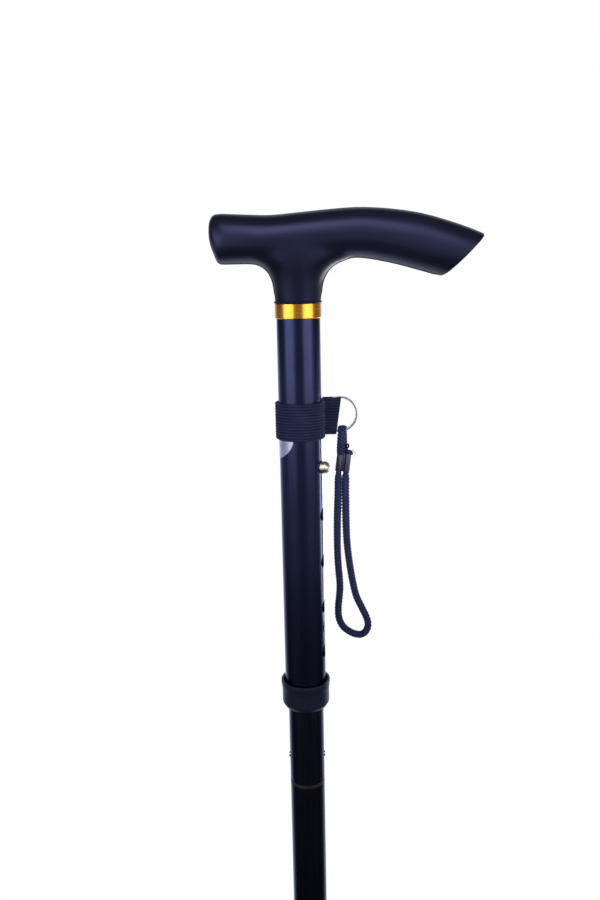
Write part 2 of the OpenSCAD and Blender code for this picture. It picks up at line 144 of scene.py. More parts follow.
def frames_along(points):
    """Two directions square to a line at each of its points, turning as little as they can."""
    way = np.gradient(points, axis=0)
    way /= np.linalg.norm(way, axis=1)[:, None]
    side = np.cross(way[0], (0, 1, 0) if abs(way[0][1]) < 0.9 else (1, 0, 0))
    sides = []
    for w in way:
        side = side - w * (side @ w)
        side = side / np.linalg.norm(side)
        sides.append(side)
    sides = np.array(sides)
    return sides, np.cross(way, sides)


def loft(rings, closed_way=False):
    """Points and faces of a skin over rings of the same number of points, capped or closed on itself."""
    count, around = len(rings), len(rings[0])
    faces = []
    for i in range(count if closed_way else count - 1):
        here, there = i * around, (i + 1) % count * around
        for k in range(around):
            j = (k + 1) % around
            faces.append((here + k, here + j, there + j, there + k))
    if not closed_way:
        faces.append(tuple(range(around))[::-1])
        faces.append(tuple((count - 1) * around + k for k in range(around)))
    return np.concatenate(rings), faces


def together(*skins):
    """Several skins as one."""
    points, faces, shift = [], [], 0
    for p, f in skins:
        points.append(p)
        faces += [tuple(i + shift for i in face) for face in f]
        shift += len(p)
    return np.concatenate(points), faces


def lathe(profile, around=128):
    """Closed skin of a profile of (radius, height) turned about the shaft."""
    rings = []
    for k in range(around):
        a = 2 * math.pi * k / around
        rings.append(np.array([(r * math.cos(a), r * math.sin(a), z) for r, z in profile]))
    return loft(rings, closed_way=True)


def tube_along(line, radius, around):
    """A plain round tube along a line."""
    side, up = frames_along(line)
    a = 2 * np.pi * np.arange(around) / around
    return loft([
        p + radius * (np.cos(a)[:, None] * side[i] + np.sin(a)[:, None] * up[i]) for i, p in enumerate(line)
    ])


def rounded(corners, radius, steps=5):
    """Closed outline with each corner rounded; a corner may carry its own radius."""
    out = []
    n = len(corners)
    for i in range(n):
        p = np.array(corners[i][:2], float)
        r = corners[i][2] if len(corners[i]) > 2 else radius
        before = np.array(corners[i - 1][:2], float) - p
        after = np.array(corners[(i + 1) % n][:2], float) - p
        lb, la = np.linalg.norm(before), np.linalg.norm(after)
        half = math.acos(max(-1.0, min(1.0, before @ after / lb / la))) / 2
        cut = min(r / math.tan(half), 0.48 * lb, 0.48 * la)
        a, b = p + before / lb * cut, p + after / la * cut
        for k in range(steps + 1):
            t = k / steps
            out.append((1 - t) ** 2 * a + 2 * t * (1 - t) * p + t * t * b)
    return out


def step_up(low, high, value):
    """Smooth step from 0 at low to 1 at high."""
    t = min(1.0, max(0.0, (value - low) / (high - low)))
    return t * t * (3 - 2 * t)


def new_piece(name, points, faces, mat=None, hollow_shade_mask=None):
    """A new mesh from points in mm; a mask for each point is kept for the material's painted shade in
    hollows.
    """
    mesh = bpy.data.meshes.new(name)
    mesh.from_pydata([tuple(p) for p in np.array(points, float) * MM], [], faces)
    work = bmesh.new()
    work.from_mesh(mesh)
    bmesh.ops.recalc_face_normals(work, faces=work.faces)
    work.to_mesh(mesh)
    work.free()
    mesh.shade_smooth()
    if hollow_shade_mask is not None:
        mesh.attributes.new("hollow_shade_mask", "FLOAT", "POINT").data.foreach_set("value", np.ravel(hollow_shade_mask))
    piece = bpy.data.objects.new(name, mesh)
    scene.collection.objects.link(piece)
    if mat:
        mesh.materials.append(mat)
    return piece


def settle(piece):
    """Applies a piece's modifiers."""
    mesh = bpy.data.meshes.new_from_object(piece.evaluated_get(bpy.context.evaluated_depsgraph_get()))
    piece.modifiers.clear()
    piece.data = mesh


def remesh(piece, voxel):
    """Makes a piece's skin anew from voxels of a size in mm."""
    step = piece.modifiers.new("remesh", "REMESH")
    step.mode = "VOXEL"
    step.voxel_size = voxel * MM
    settle(piece)


def relax(piece, times, weight=None):
    """Evens out a piece, where a weight of (x, y, z) in mm says so."""
    step = piece.modifiers.new("relax", "SMOOTH")
    step.factor = 0.5
    step.iterations = times
    if weight:
        group = piece.vertex_groups.new(name="relax")
        for v in piece.data.vertices:
            share = weight(*(v.co / MM))
            if share > 0:
                group.add([v.index], share, "REPLACE")
        step.vertex_group = group.name
    settle(piece)
    piece.vertex_groups.clear()


def cut_plane(piece, point, normal):
    """Takes off what lies past a plane and closes the cut."""
    work = bmesh.new()
    work.from_mesh(piece.data)
    every = work.verts[:] + work.edges[:] + work.faces[:]
    cut = bmesh.ops.bisect_plane(
        work, geom=every, plane_co=Vector(point) * MM, plane_no=Vector(normal), clear_outer=True
    )
    edges = [e for e in cut["geom_cut"] if isinstance(e, bmesh.types.BMEdge)]
    bmesh.ops.holes_fill(work, edges=edges)
    work.to_mesh(piece.data)
    work.free()


def middle_outline(piece, start):
    """A piece's outline in the plane y = 0, in order round it from the point nearest to start."""
    work = bmesh.new()
    work.from_mesh(piece.data)
    every = work.verts[:] + work.edges[:] + work.faces[:]
    cut = bmesh.ops.bisect_plane(work, geom=every, plane_co=(0, 0, 0), plane_no=(0, 1, 0))
    left = {e for e in cut["geom_cut"] if isinstance(e, bmesh.types.BMEdge)}
    here = min((v for e in left for v in e.verts), key=lambda v: (v.co / MM - Vector(start)).length)
    order = []
    while here:
        order.append(np.array(here.co / MM))
        edge = next((e for e in here.link_edges if e in left), None)
        left.discard(edge)
        here = edge.other_vert(here) if edge else None
    work.free()
    return order


# Materials

class Look:
    """One material, with short calls for its nodes."""

    def __init__(self, name, base, rough, metal=0.0, **sockets):
        self.mat = bpy.data.materials.new(name)
        self.mat.use_nodes = True
        self.tree = self.mat.node_tree
        self.shader = self.tree.nodes["Principled BSDF"]
        values = {"Base Color": (*base, 1), "Roughness": rough, "Metallic": metal}
        for key, value in sockets.items():
            values[key.replace("_", " ")] = value
        for key, value in values.items():
            self.shader.inputs[key].default_value = value
        self.place = self.add("ShaderNodeTexCoord").outputs["Object"]

    def add(self, kind, *inputs, **settings):
        node = self.tree.nodes.new(kind)
        for key, value in settings.items():
            setattr(node, key, value)
        for i, value in enumerate(inputs):
            self.put(node.inputs[i], value)
        return node

    def put(self, socket, value):
        if value is None:
            return
        if isinstance(value, bpy.types.NodeSocket):
            self.tree.links.new(value, socket)
        else:
            socket.default_value = value

    def math(self, operation, a, b):
        return self.add("ShaderNodeMath", a, b, operation=operation).outputs[0]

    def stretch(self, x, y, z):
        node = self.add("ShaderNodeMapping", self.place)
        node.inputs["Scale"].default_value = (x, y, z)
        return node.outputs[0]

    def noise(self, scale, detail, of=None):
        node = self.add("ShaderNodeTexNoise", of or self.place)
        node.inputs["Scale"].default_value = scale
        node.inputs["Detail"].default_value = detail
        return node.outputs["Fac"]

    def ramp(self, value, low, high, to_low=0.0, to_high=1.0, way="LINEAR"):
        node = self.add("ShaderNodeMapRange", value, low, high, to_low, to_high, interpolation_type=way)
        return node.outputs[0]

    def mix(self, share, a, b):
        node = self.add("ShaderNodeMix", data_type="RGBA")
        self.put(node.inputs["Factor"], share)
        for socket, value in ((6, a), (7, b)):
            self.put(node.inputs[socket], (*value, 1) if isinstance(value, tuple) else value)
        return node.outputs[2]

    def bump(self, height, depth, strength):
        node = self.add("ShaderNodeBump")
        node.inputs["Strength"].default_value = strength
        node.inputs["Distance"].default_value = depth * MM
        self.put(node.inputs["Height"], height)
        return node.outputs[0]

    def grazing(self, value, share, low=0.3, high=0.6):
        """A value that falls to a share of itself where the surface is seen at a low angle."""
        facing = self.add("ShaderNodeLayerWeight", 0.5).outputs["Facing"]
        return self.math("MULTIPLY", value, self.ramp(facing, low, high, 1.0, share))

    def xyz(self):
        return self.add("ShaderNodeSeparateXYZ", self.place).outputs

    def to(self, **links):
        for key, value in links.items():
            self.put(self.shader.inputs[key.replace("_", " ")], value)
        return self.mat


# Tint of the gloss on navy pieces
NAVY = (0.36, 0.43, 1.0, 1)
# Heights in m between which the handle's gloss rises
NECK_Z, GRIP_Z = 0.8, 0.818


def shade_of(colour, share):
    """A colour made darker or lighter."""
    return tuple(min(1.0, share * c) for c in colour)


def handle_look():
    """Moulded plastic, duller on the neck than on the grip, which hands polish."""
    base = (0.0062, 0.0071, 0.0158)
    look = Look("handle_plastic", base, 0.46, Specular_Tint=(0.44, 0.46, 1, 1))
    cloud = look.noise(40, 4)
    grain = look.noise(2600, 2)
    streak = look.noise(300, 2, look.stretch(1, 1, 0.12))
    scuff = look.ramp(streak, 0.72, 0.78)
    shade = look.mix(cloud, shade_of(base, 0.8), shade_of(base, 1.25))
    colour = look.mix(look.math("MULTIPLY", scuff, 0.2), shade, (0.04, 0.04, 0.06))
    rough = look.grazing(look.ramp(cloud, 0.3, 0.7, 0.37, 0.45), 0.7)
    polished = look.ramp(look.xyz()[2], NECK_Z, GRIP_Z, 0.3, 0.7, "SMOOTHSTEP")
    gloss = look.grazing(polished, 0.03, 0.4, 0.8)
    bump = look.bump(grain, 0.03, 0.3)
    return look.to(Base_Color=colour, Roughness=rough, Specular_IOR_Level=gloss, Normal=bump)


def tube_look(name, base, tint, edge):
    """Dyed aluminium, drawn along its length."""
    look = Look(name, base, 0.3, 1.0, Specular_Tint=tint)
    cloud = look.noise(60, 3)
    grain = look.noise(5000, 2, look.stretch(1, 1, 0.15))
    lines = look.noise(900, 2, look.stretch(1, 1, 0.02))
    colour = look.mix(cloud, shade_of(base, 0.8), shade_of(base, 1.25))
    rough = look.grazing(look.ramp(lines, 0.3, 0.7, 0.27, 0.33), edge)
    return look.to(Base_Color=colour, Roughness=rough, Normal=look.bump(grain, 0.01, 0.25))


def gold_look():
    """Gold anodised aluminium, turned on a lathe."""
    look = Look("gold_anodised", (0.93, 0.42, 0.055), 0.27, 1.0)
    lines = look.noise(1.0, 3, look.stretch(60, 60, 9000))
    speck = look.noise(2200, 2)
    colour = look.mix(look.ramp(speck, 0.35, 0.7), (0.89, 0.38, 0.045), (0.96, 0.47, 0.07))
    rough = look.ramp(lines, 0.3, 0.7, 0.22, 0.32)
    return look.to(Base_Color=colour, Roughness=rough, Normal=look.bump(lines, 0.01, 0.3))


def plastic_look(name, base, rough, grain_mm=0.4, **sockets):
    """Moulded plastic with a fine grain."""
    look = Look(name, base, rough, **sockets)
    cloud = look.noise(70, 3)
    grain = look.noise(1000 / grain_mm, 2)
    return look.to(
        Base_Color=look.mix(cloud, shade_of(base, 0.85), shade_of(base, 1.2)),
        Roughness=look.ramp(cloud, 0.3, 0.7, rough - 0.05, rough + 0.06),
        Normal=look.bump(grain, 0.02, 0.4),
    )


def metal_look(name, base, rough, brush=(1, 1, 1)):
    """Worn metal; brush stretches its grain."""
    look = Look(name, base, rough, 1.0)
    cloud = look.noise(120, 4)
    grain = look.noise(3000, 2, look.stretch(*brush))
    return look.to(
        Base_Color=look.mix(cloud, shade_of(base, 0.88), shade_of(base, 1.08)),
        Roughness=look.ramp(cloud, 0.3, 0.7, 0.75 * rough, 1.35 * rough),
        Normal=look.bump(grain, 0.006, 0.3),
    )


def fabric_look(name, base, thread, painted_hollow_shade=None, painted_shade_below=None):
    """Yarn: fine threads of a width in mm, a soft sheen and lint.

    painted_hollow_shade is how dark the painted shade between the strands of a woven piece is, and
    painted_shade_below the heights between which a painted shade darkens it downwards, for light that
    falls off lower down.
    """
    look = Look(
        name, base, 0.7, Sheen_Weight=0.08, Sheen_Roughness=0.4, Sheen_Tint=(0.4, 0.45, 1, 1),
        Specular_IOR_Level=0.35, Specular_Tint=NAVY,
    )
    fibre = look.noise(1000 / thread * 2.2, 3)
    cloud = look.noise(180, 3)
    lint = look.ramp(look.noise(2400, 1), 0.74, 0.8)
    colour = look.mix(cloud, shade_of(base, 0.7), shade_of(base, 1.35))
    colour = look.mix(look.math("MULTIPLY", lint, 0.2), colour, (0.06, 0.06, 0.09))
    # Painted shade: the colour darkens towards the bottom, standing in for light that falls off lower down
    if painted_shade_below:
        colour = look.mix(look.ramp(look.xyz()[2], *painted_shade_below), shade_of(base, 0.42), colour)
    if painted_hollow_shade:
        # Painted shade: darker in the hollows between strands and ribs, where the mask is low
        hollow_shade_mask = look.add("ShaderNodeAttribute", attribute_name="hollow_shade_mask").outputs["Fac"]
        colour = look.mix(look.ramp(hollow_shade_mask, 0.3, 0.85), shade_of(base, painted_hollow_shade), colour)
    return look.to(Base_Color=colour, Normal=look.bump(fibre, 0.06, 0.6))


def foil_look():
    """Silver foil with creases and smudges."""
    look = Look("silver_foil", (0.56, 0.56, 0.76), 0.34, 0.85)
    crease = look.noise(260, 4)
    smudge = look.ramp(look.noise(190, 4), 0.56, 0.72)
    colour = look.mix(look.math("MULTIPLY", smudge, 0.5), (0.58, 0.58, 0.78), (0.34, 0.34, 0.46))
    rough = look.ramp(crease, 0.3, 0.7, 0.24, 0.46)
    return look.to(Base_Color=colour, Roughness=rough, Normal=look.bump(crease, 0.05, 0.4))


def rubber_look():
    """Black rubber, dusty towards its foot."""
    look = Look("tip_rubber", (0.018, 0.018, 0.02), 0.72)
    dust = look.noise(130, 5)
    low = look.ramp(look.xyz()[2], 0.0, 0.012, 0.45, 0.0)
    share = look.math("MULTIPLY", look.ramp(dust, 0.35, 0.75), look.math("ADD", low, 0.06))
    colour = look.mix(share, (0.017, 0.017, 0.019), (0.16, 0.15, 0.14))
    grain = look.noise(1800, 3)
    return look.to(
        Base_Color=colour,
        Roughness=look.ramp(dust, 0.3, 0.7, 0.62, 0.82),
        Normal=look.bump(grain, 0.04, 0.45),
    )


handle_mat = handle_look()
outer_mat = tube_look("navy_anodised", (0.032, 0.038, 0.084), (0.86, 0.88, 1, 1), 0.5)
tube_mat = tube_look("black_anodised", (0.058, 0.06, 0.09), (0.86, 0.87, 1, 1), 0.8)
gold_mat = gold_look()
collar_mat = plastic_look(
    "collar_plastic", (0.0088, 0.0094, 0.0165), 0.4, 0.35, Specular_IOR_Level=0.6, Specular_Tint=NAVY
)
dark_plastic = plastic_look("dark_plastic", (0.012, 0.012, 0.014), 0.5)
white_nylon = plastic_look("white_nylon", (0.62, 0.62, 0.58), 0.45)
band_mat = fabric_look("elastic_webbing", (0.0195, 0.023, 0.057), 0.45, painted_hollow_shade=0.5)
cord_mat = fabric_look("braided_cord", (0.034, 0.043, 0.121), 0.35, painted_hollow_shade=0.2, painted_shade_below=(0.6, 0.69))
shock_mat = fabric_look("elastic_cord", (0.012, 0.012, 0.015), 0.35, painted_hollow_shade=0.4)
thread_mat = fabric_look("pale_thread", (0.4, 0.4, 0.44), 0.1)
ring_mat = metal_look("ring_steel", (0.85, 0.84, 0.88), 0.28)
button_mat = metal_look("button_brass", (0.98, 0.85, 0.7), 0.34)
crimp_mat = metal_look("crimp_metal", (0.16, 0.155, 0.225), 0.4, (1, 1, 0.1))
steel_mat = metal_look("bright_steel", (0.58, 0.58, 0.6), 0.26)
foil_mat = foil_look()
rubber_mat = rubber_look()


def paint(mat, *names):
    """Gives CAD nodes a material."""
    for n in names:
        nodes[n].data.materials.clear()
        nodes[n].data.materials.append(mat)


paint(outer_mat, "outer_tube")
paint(tube_mat, "inner_tube", "tube_2", "tube_3", "tube_4")
paint(gold_mat, "gold_collar")
paint(dark_plastic, "tube_plug", "lock_bush", "joint_plug_1", "joint_plug_2", "joint_plug_3")
paint(white_nylon, "guide_bush")
paint(button_mat, "snap_button")
paint(foil_mat, "foil_sticker")
paint(
    steel_mat, "handle_screw", "upper_cord_pin", "lower_cord_pin", "tip_washer",
    "plug_rivets_1", "plug_rivets_2", "plug_rivets_3",
)


# Handle

def squared(v):
    """Makes the grip's round section a little squarer."""
    return math.copysign(abs(v) ** 0.86, v)


def build_handle():
    low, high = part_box("handle")
    top, foot = high.z / MM, low.z / MM
    around, coarse, fine = 96, 0.65, 0.5
    angles = [2 * math.pi * k / around for k in range(around)]
    grip = []
    for x, t, u, thin in catmull(GRIP, 6):
        mid, half, thick = (t + u) / 2, (u - t) / 2, GRIP_THICK / 2 - thin
        grip.append(np.array([
            (x, thick * squared(math.cos(a)), top - mid + half * squared(math.sin(a))) for a in angles
        ]))
    neck = []
    for z, left, right, deep in catmull(NECK, 5):
        neck.append(np.array([
            ((NECK_R + (left if math.cos(a) < 0 else right)) * math.cos(a),
             (NECK_R + deep) * math.sin(a), foot + z) for a in angles
        ]))
    piece = new_piece("handle_grip", *together(loft(grip), loft(neck)))
    remesh(piece, coarse)

    def joint(x, y, z):
        """Where the neck runs into the grip."""
        along = 1 - step_up(30, 44, abs(x - 1))
        return along * step_up(foot + 8, foot + 15, z) * (1 - step_up(top - 12, top - 4, z))

    # The neck flows into the grip, and then the end is cut off at a slant
    relax(piece, 5)
    relax(piece, 110, joint)
    end = (END_LOW[0], 0, top - END_LOW[1])
    way = (END_LOW[1] - END_TOP[1], 0, END_LOW[0] - END_TOP[0])
    cut_plane(piece, end, way)
    cut_plane(piece, (0, 0, foot), (0, 0, -1))
    # The cut's rim is softened, most at its upper corner
    remesh(piece, fine)
    relax(piece, 3)
    relax(piece, 9, lambda x, y, z: step_up(58, 66, x))
    relax(piece, 25, lambda x, y, z: step_up(72, 82, x) * step_up(top - 26, top - 20, z))
    cut_plane(piece, (0, 0, foot + 0.1), (0, 0, -1))
    seam = build_seam(piece, foot, top)
    bore = new_piece("bore", *loft([
        np.array([(SOCKET_R * math.cos(a), SOCKET_R * math.sin(a), z) for a in angles])
        for z in (foot - 5, foot + SOCKET_L)
    ]))
    step = piece.modifiers.new("bore", "BOOLEAN")
    step.operation = "DIFFERENCE"
    step.object = bore
    step.solver = "EXACT"
    settle(piece)
    bpy.data.objects.remove(bore)
    piece.data.materials.clear()
    piece.data.materials.append(handle_mat)
    piece.data.shade_smooth()
    return piece, seam


def build_seam(piece, foot, top):
    """The mould's parting line: a fine ridge along the middle of the underside and down the neck."""
    tall, sunk, base, crest = 0.34, 0.3, 0.36, 0.1
    step, fade = 0.6, 6
    outline = middle_outline(piece, (0, 0, foot))
    skins = []
    for way_round in (outline, outline[::-1]):
        line = []
        for p in way_round:
            if p[2] > top - 20 or p[0] > END_LOW[0] - 0.8:
                break
            if p[2] > foot + 1.5:
                line.append(p)
        line = spaced(line, step)
        way = np.gradient(line, axis=0)
        way /= np.linalg.norm(way, axis=1)[:, None]
        out = np.stack([way[:, 2], 0 * way[:, 0], -way[:, 0]], axis=1) * np.sign(line[-1][0])
        rings = []
        for i, p in enumerate(line):
            rise = tall * min(1, i / fade, (len(line) - 1 - i) / fade) * out[i]
            rings.append(np.array([
                p - sunk * out[i] + (0, -base, 0), p + rise + (0, -crest, 0),
                p + rise + (0, crest, 0), p - sunk * out[i] + (0, base, 0),
            ]))
        skins.append(loft(rings))
    return new_piece("handle_seam", *together(*skins), handle_mat)


handle, seam = build_handle()
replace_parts(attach(handle, "upper"), "handle")
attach(seam, "upper")

foot_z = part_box("handle")[0].z / MM
lip = new_piece("handle_lip", *lathe(rounded([
    (11.1, foot_z - 0.02), (11.95, foot_z - 0.02), (11.95, foot_z + 0.75), (11.1, foot_z + 1.2)
], 0.25)), handle_mat)
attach(lip, "upper")


# Lock collar: a cup with a bead round its rim and a mouth that slopes in to the tube

def build_collar():
    low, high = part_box("lock_collar")
    lower, hole, floor = 0.9, 9.7, 3
    z, rim, r = low.z / MM - lower, high.z / MM, high.x / MM
    body, mouth, bore = r - 0.5, 11.45, 12.3
    return new_piece("lock_cup", *lathe(rounded([
        (hole, z, 0.3), (body - 1.6, z, 1.2), (body, z + 2.6, 2), (body, rim - 5, 6),
        (r, rim - 1.8, 2.5), (r, rim, 0.3), (r - 1.1, rim, 0.2), (mouth, rim - 1.3, 0.2),
        (mouth, rim - 2.3, 0.2), (bore, rim - 2.6, 0.2), (bore, z + floor, 0.3), (hole, z + floor, 0.3),
    ], 0.4, 6), 160), collar_mat)


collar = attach(build_collar(), "lock_collar")
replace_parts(collar, "lock_collar")


# Elastic band: one strip of ribbed elastic round the tube, with both ends laid together as the tab

def build_band():
    low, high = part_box("elastic_band")
    lower, tab_from, weave_pitch = 0.7, 12.5, 0.9
    z0, z1 = low.z / MM - lower, high.z / MM - lower
    wide = z1 - z0
    inside, thick, ribs = 11.35, 1.2, 13
    mid = inside + thick / 2
    reach, slant = high.x / MM, 2.75
    back_y, front_y = mid + 0.25, 9.0
    turn = [math.radians(a) for a in range(90, 391, 6)]
    path = [(reach, back_y, 0), (12, back_y, 0), (6, back_y - 0.05, 0)]
    path += [(mid * math.cos(a), mid * math.sin(a), 0) for a in turn]
    path += [(11.6, 7.6, 0), (13.0, 8.7, 0), (15, front_y, 0), (reach, front_y, 0)]
    path = spaced(catmull(path, 8), CORD_STEP)
    way = np.gradient(path, axis=0)
    way /= np.linalg.norm(way, axis=1)[:, None]
    out = np.stack([way[:, 1], -way[:, 0], np.zeros(len(way))], axis=1)
    run = runs(path)
    outer = np.linspace(0, 1, ribs * 8 + 1)
    inner = np.linspace(1, 0, ribs * 4 + 1)
    rings, hollow_shade_mask = [], []
    for i, p in enumerate(path):
        ring = []
        # The top edge dips behind the tube, on the way to the tab
        on_tab = step_up(11.4, 11.8, p[0]) if p[1] > 0 else 0
        dip = 2.4 * step_up(1, 7, p[0]) * (1 - on_tab) if p[1] > 8 else 0
        for v, face in [(v, 1) for v in outer] + [(v, -1) for v in inner]:
            rib = v * ribs
            crest = abs(math.sin(math.pi * rib)) ** 0.6
            weave = math.sin(2 * math.pi * run[i] / weave_pitch + math.pi * (int(rib) % 2))
            foot = 1 - (1 - min(1, v * wide / 1.3)) ** 2
            head = 1 - (1 - min(1, (1 - v) * wide / 0.5)) ** 2
            edge = math.sqrt(max(0.04, foot * head))
            relief = (0.5 * crest - 0.27 + 0.06 * weave * crest) * edge
            depth = thick / 2 * edge + relief if face > 0 else thick / 2 * 0.9 + 0.3 * relief
            q = p + out[i] * face * depth
            if p[0] > tab_from:
                shorter = (reach - slant * (1 - v) - tab_from) / (reach - tab_from)
                q[0] = tab_from + (q[0] - tab_from) * shorter
            ring.append((q[0], q[1], z0 + wide * v + (0.5 * v - 0.3) * on_tab - dip * v))
            # The rib's crest also masks the painted shade between the ribs
            hollow_shade_mask.append(crest)
        rings.append(np.array(ring))
    return new_piece("elastic_strap", *loft(rings), band_mat, hollow_shade_mask)


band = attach(build_band(), "band")
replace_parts(band, "elastic_band")


# Split ring: two flat turns of wire with a step between them

ring_low, ring_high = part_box("split_ring")
ring_mid = np.array((ring_low + ring_high) / 2) / MM


def build_ring():
    x, y, z = ring_mid
    r, wide, deep, rise = 9.03, 0.55, 0.33, 0.34
    steps, half = 360, 0.4
    section = rounded([(-wide, -deep), (wide, -deep), (wide, deep), (-wide, deep)], 0.24, 3)
    start = math.radians(200)
    rings = []
    for i in range(2 * steps + 1):
        a = 2 * math.pi * i / steps
        lift = rise * (2 * step_up(2 * math.pi - half, 2 * math.pi + half, a) - 1)
        c, s = math.cos(start + a), math.sin(start + a)
        rings.append(np.array([(x + (r + u) * c, y + lift + v, z + (r + u) * s) for u, v in section]))
    return new_piece("split_ring_coils", *loft(rings), ring_mat)


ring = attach(build_ring(), "ring")
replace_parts(ring, "split_ring")


# Cords

def braid(phase_a, phase_b):
    """Height of a plain braid: two families of strands that pass over and under each other."""
    ia, ib = np.round(phase_a), np.round(phase_b)
    da, db = phase_a - ia, phase_b - ib
    over_a = np.cos(np.pi * (phase_b + ia))
    over_b = -np.cos(np.pi * (phase_a + ib))
    ha = np.sqrt(np.clip(1 - (1.85 * da) ** 2, 0, 1)) + 0.6 * over_a
    hb = np.sqrt(np.clip(1 - (1.85 * db) ** 2, 0, 1)) + 0.6 * over_b
    return np.maximum(np.maximum(ha, hb), 0)


def braided(name, line, radius, mat, strands, around, relief, steep=1.0, thin=None):
    """A braided tube along a line, with rounded ends, squeezed where thin(point) is under 1."""
    highest, lift, rounding = 1.6, 0.65, 0.6
    side, up = frames_along(line)
    run = runs(line)
    a = 2 * np.pi * np.arange(around) / around
    rings, hollow_shade_mask = [], []
    for i, p in enumerate(line):
        left = min(run[i], run[-1] - run[i]) / radius
        dome = math.sqrt(max(0.0, 1 - max(0.0, rounding - left) ** 2 / 0.37))
        turn = steep * run[i] / radius
        height = braid(strands * (a - turn) / (2 * np.pi), strands * (a + turn) / (2 * np.pi))
        r = dome * (radius - relief + relief * lift * height) * (thin(p) if thin else 1)
        rings.append(p + r[:, None] * (np.cos(a)[:, None] * side[i] + np.sin(a)[:, None] * up[i]))
        # The braid's height also masks the painted shade between its strands
        hollow_shade_mask.append(height / highest)
    return new_piece(name, *loft(rings), mat, hollow_shade_mask)


def girth(p):
    """The crimp squeezes the cord, and the loop is drawn a little thinner."""
    squeeze, drawn, easing = 0.32, 0.06, 4.2
    z = p[2] - ring_mid[2]
    top, foot = CRIMP_TOP[2], CRIMP_TOP[2] - CRIMP_L
    squeezed = step_up(foot - easing, foot + 0.4, z) * (1 - step_up(top - 0.6, top + 0.6, z))
    return (1 - drawn + drawn * step_up(-75, -45, z)) * (1 - squeeze * squeezed)


def press_on_ring(piece):
    """Flattens the cord where it bends over the ring's wire."""
    middle = ring_mid + np.array(WIRE)
    inner, flat, wider = 1.0, 0.54, 0.1
    for v in piece.data.vertices:
        x, y, z = np.array(v.co) / MM - middle
        far = math.hypot(y, z)
        if z < -3 or far > 6:
            continue
        share = step_up(-0.2, 0.7, z / far)
        scale = (inner + (far - inner) * (1 - flat * share)) / far
        v.co = Vector(middle + np.array((x * (1 + wider * share), y * scale, z * scale))) * MM


strap_line = spaced(catmull([ring_mid + np.array(p) for p in STRAP_ROUTE + [STRAP_TUCK]], 8), CORD_STEP)
strap = braided(
    "wrist_cord_braid", strap_line, CREST_R, cord_mat, strands=4, around=64, relief=0.8,
    steep=1.9, thin=girth,
)
press_on_ring(strap)
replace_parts(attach(strap, "strap"), "wrist_cord")


def build_crimp():
    """Metal sleeve pressed round both runs of the cord, with a deep crease between them."""
    lobe, pitch, waist, wall = 1.75, 4.2, 0.6, 0.4
    right = [(pitch / 2 + lobe * math.cos(a), lobe * math.sin(a)) for a in np.radians(range(-128, 129, 16))]
    left = [(-x, -y) for x, y in right]
    outline = right + [(0.3, waist), (-0.3, waist)] + left + [(-0.3, -waist), (0.3, -waist)]
    outline = catmull([(x, y, 0) for x, y in outline], 4, closed=True)
    way = np.roll(outline, -1, axis=0) - np.roll(outline, 1, axis=0)
    way /= np.linalg.norm(way, axis=1)[:, None]
    out = np.stack([way[:, 1], -way[:, 0], np.zeros(len(way))], axis=1)
    levels = rounded([(0, 0), (wall, 0), (wall, CRIMP_L), (0, CRIMP_L)], 0.18, 3)
    rings = [outline + out * (n - wall) + np.array((0, 0, -CRIMP_L + z)) for n, z in levels]
    points, faces = loft(rings, closed_way=True)
    spin = np.array(Matrix.Rotation(CRIMP_LEAN, 3, "Y"))
    points = points @ spin.T + ring_mid + np.array(CRIMP_TOP)
    return new_piece("cord_sleeve", points, faces, crimp_mat)


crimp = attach(build_crimp(), "strap")
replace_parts(crimp, "cord_crimp")


def build_thread(name, points, radius, mat):
    """A loose end of yarn on the wrist cord."""
    line = spaced(catmull([ring_mid + np.array(p) for p in points], 6), CORD_STEP)
    thread = new_piece(name, *tube_along(line, radius, 10), mat)
    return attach(thread, "strap")


loose = build_thread("loose_thread", [
    (6.6, -0.6, -19.3), (7, -0.8, -19.7), (8, -1, -20.6), (8.15, -1, -21.7), (7.35, -0.8, -22.9),
], 0.15, thread_mat)
frayed = build_thread("frayed_strand", [
    (3.2, -0.6, -17.9), (3.7, -1, -16.5), (4.3, -1.2, -16.05), (4.6, -1.1, -16.9),
    (4.4, -0.8, -17.8), (3.6, -0.4, -18.6),
], 0.45, cord_mat)

# Elastic cord: one straight run for each fold, from its plug down into the next section
# Heights of the folds, length of the run in each plug, and reach of a plug's nose below its fold
JOINTS = [525, 350, 175]
LINK_L = 42
NOSE = 17.3
SHOCK_R = 2
PIN_R = 1.5
PIN_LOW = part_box("lower_cord_pin")[0].z / MM + PIN_R
PIN_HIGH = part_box("upper_cord_pin")[0].z / MM + PIN_R


def shock_run(name, levels):
    """A straight run of the elastic cord through the shaft's middle."""
    line = np.stack([0 * levels, 0 * levels, levels], axis=1)
    return braided(name, line, SHOCK_R, shock_mat, strands=8, around=32, relief=0.16)


for n, joint in enumerate(JOINTS):
    end = JOINTS[n + 1] + LINK_L if n < 2 else PIN_LOW
    shock = shock_run(f"shock_cord_{n + 1}", np.concatenate([
        np.arange(joint + LINK_L, joint + 0.4, -0.5), np.arange(joint, joint - NOSE, -0.2),
        np.arange(joint - NOSE, end, -1.0), [end],
    ]))
    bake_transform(shock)
    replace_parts(shock, f"cord_link_{n + 1}", f"elastic_cord_{n + 2}")

shock_top = shock_run("shock_cord_top", np.arange(JOINTS[0] + LINK_L, PIN_HIGH, 0.5))
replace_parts(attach(shock_top, "inner"), "inner_cord")


